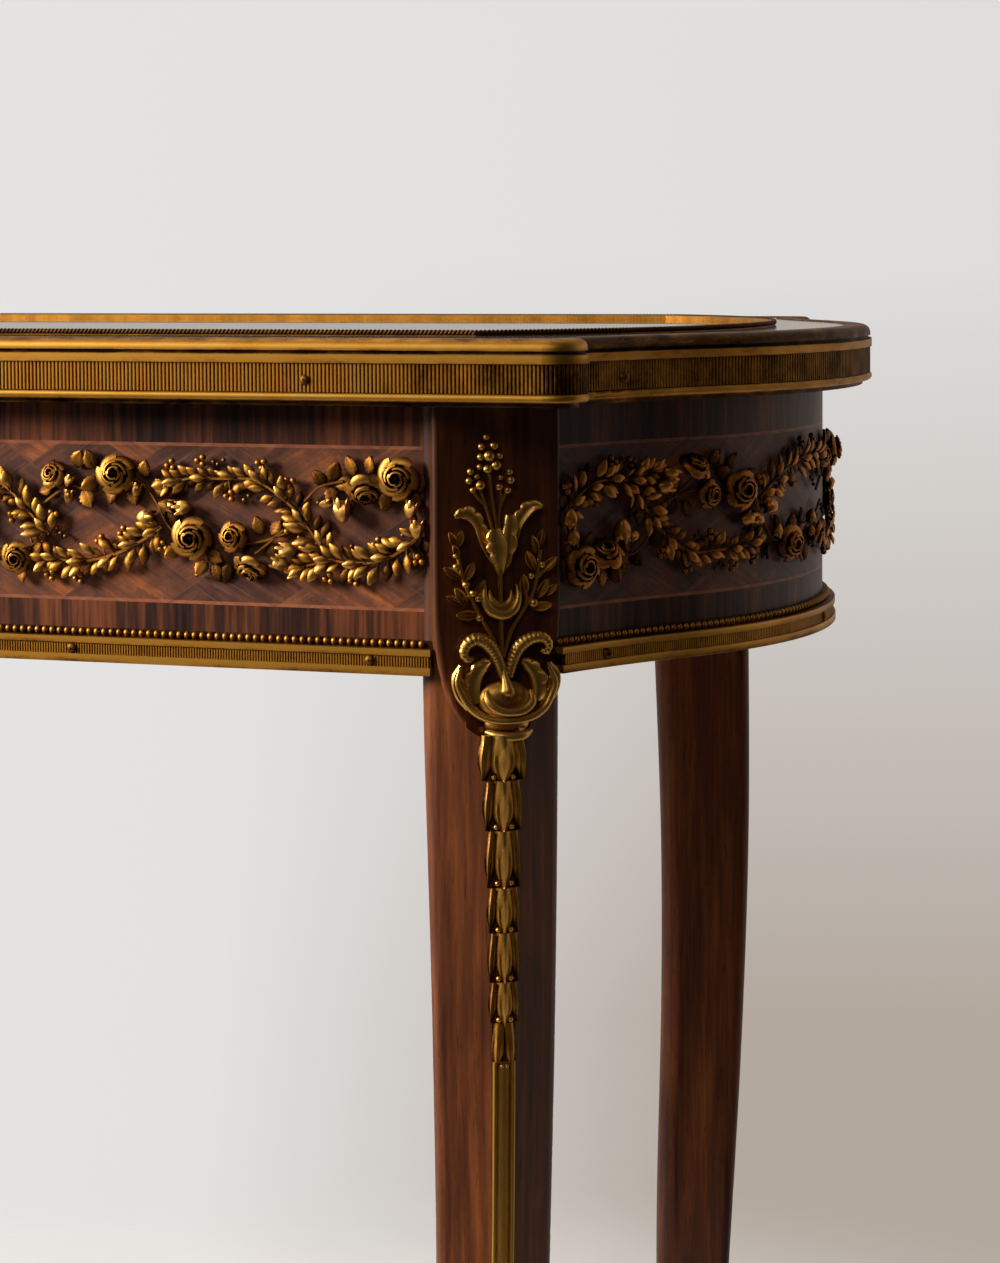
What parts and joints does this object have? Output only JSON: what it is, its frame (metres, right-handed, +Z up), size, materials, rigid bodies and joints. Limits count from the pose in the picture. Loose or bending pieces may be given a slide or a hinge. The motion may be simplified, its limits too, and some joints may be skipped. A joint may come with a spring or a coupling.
{
  "type": "vitrine table",
  "caption": "Display table with bowed ends, a hinged glazed lid over a velvet well, a parquetry frieze with gilt garlands, and slim curved legs with gilt mounts.",
  "frame": {"origin": "on the floor, below the middle of the table", "axes": "+X to the right along the width, +Y to the back, +Z up"},
  "size_m": [0.7982, 0.4948, 0.7768],
  "materials": {
    "mahogany": "french polished dark mahogany",
    "frieze_veneer": "polished kingwood parquetry and cross-banding",
    "lid_veneer": "polished kingwood veneer",
    "oak": "plain planed oak",
    "velvet": "deep red velvet",
    "gilt_bronze": "antique gilt bronze with dark recesses",
    "gilt_brass": "worn gilt brass",
    "brass": "plain brass",
    "steel": "bright steel",
    "glass": "clear plate glass"
  },
  "bodies": {
    "carcass": {"back_rail": "frieze_veneer", "bottom_board": "oak", "chute_back_left": "gilt_bronze", "chute_back_right": "gilt_bronze", "chute_front_left": "gilt_bronze", "chute_front_right": "gilt_bronze", "escutcheon": "gilt_bronze", "front_rail": "frieze_veneer", "garland_back": "gilt_bronze", "garland_front": "gilt_bronze", "garland_left": "gilt_bronze", "garland_right": "gilt_bronze", "hinge_leaves_carcass": "brass", "hinge_pins": "brass", "husks_back_left": "gilt_bronze", "husks_back_right": "gilt_bronze", "husks_front_left": "gilt_bronze", "husks_front_right": "gilt_bronze", "left_rail": "frieze_veneer", "leg_back_left": "mahogany", "leg_back_right": "mahogany", "leg_front_left": "mahogany", "leg_front_right": "mahogany", "lock_case": "brass", "lower_moulding_back": "gilt_brass", "lower_moulding_front": "gilt_brass", "lower_moulding_left": "gilt_brass", "lower_moulding_right": "gilt_brass", "lower_moulding_screws": "gilt_brass", "right_rail": "frieze_veneer", "sabot_back_left": "gilt_bronze", "sabot_back_right": "gilt_bronze", "sabot_front_left": "gilt_bronze", "sabot_front_right": "gilt_bronze", "strip_back_left": "gilt_brass", "strip_back_right": "gilt_brass", "strip_front_left": "gilt_brass", "strip_front_right": "gilt_brass", "velvet_lining": "velvet", "velvet_pad": "velvet"},
    "lid": {"lid_front": "lid_veneer", "lid_back": "lid_veneer", "lid_left": "lid_veneer", "lid_right": "lid_veneer", "lid_edge_front": "gilt_brass", "lid_edge_back": "gilt_brass", "lid_edge_left": "gilt_brass", "lid_edge_right": "gilt_brass", "lid_edge_screws": "gilt_brass", "glass": "glass", "glass_bezel": "gilt_brass", "hinge_leaves_lid": "brass", "lock_strike": "brass"},
    "bolt": {"lock_bolt": "steel"},
    "key": {"key": "steel"}
  },
  "joints": [
    {"name": "lid_hinge", "type": "hinge", "parent": "carcass", "child": "lid", "pos_m": [0, 0.2394, 0.7403], "axis": [-1, 0, 0], "range_deg": [0, 95]},
    {"name": "key_turn", "type": "hinge", "parent": "carcass", "child": "key", "pos_m": [0, -0.205, 0.686], "axis": [0, 1, 0], "range_deg": [0, 90]},
    {"name": "bolt_slide", "type": "slide", "parent": "carcass", "child": "bolt", "axis": [0, 0, 1], "range_m": [0, 0.009]}
  ],
  "couplings": [
    {"joint": "bolt_slide", "follows": "key_turn", "m_per_rad": 0.0044563}
  ]
}
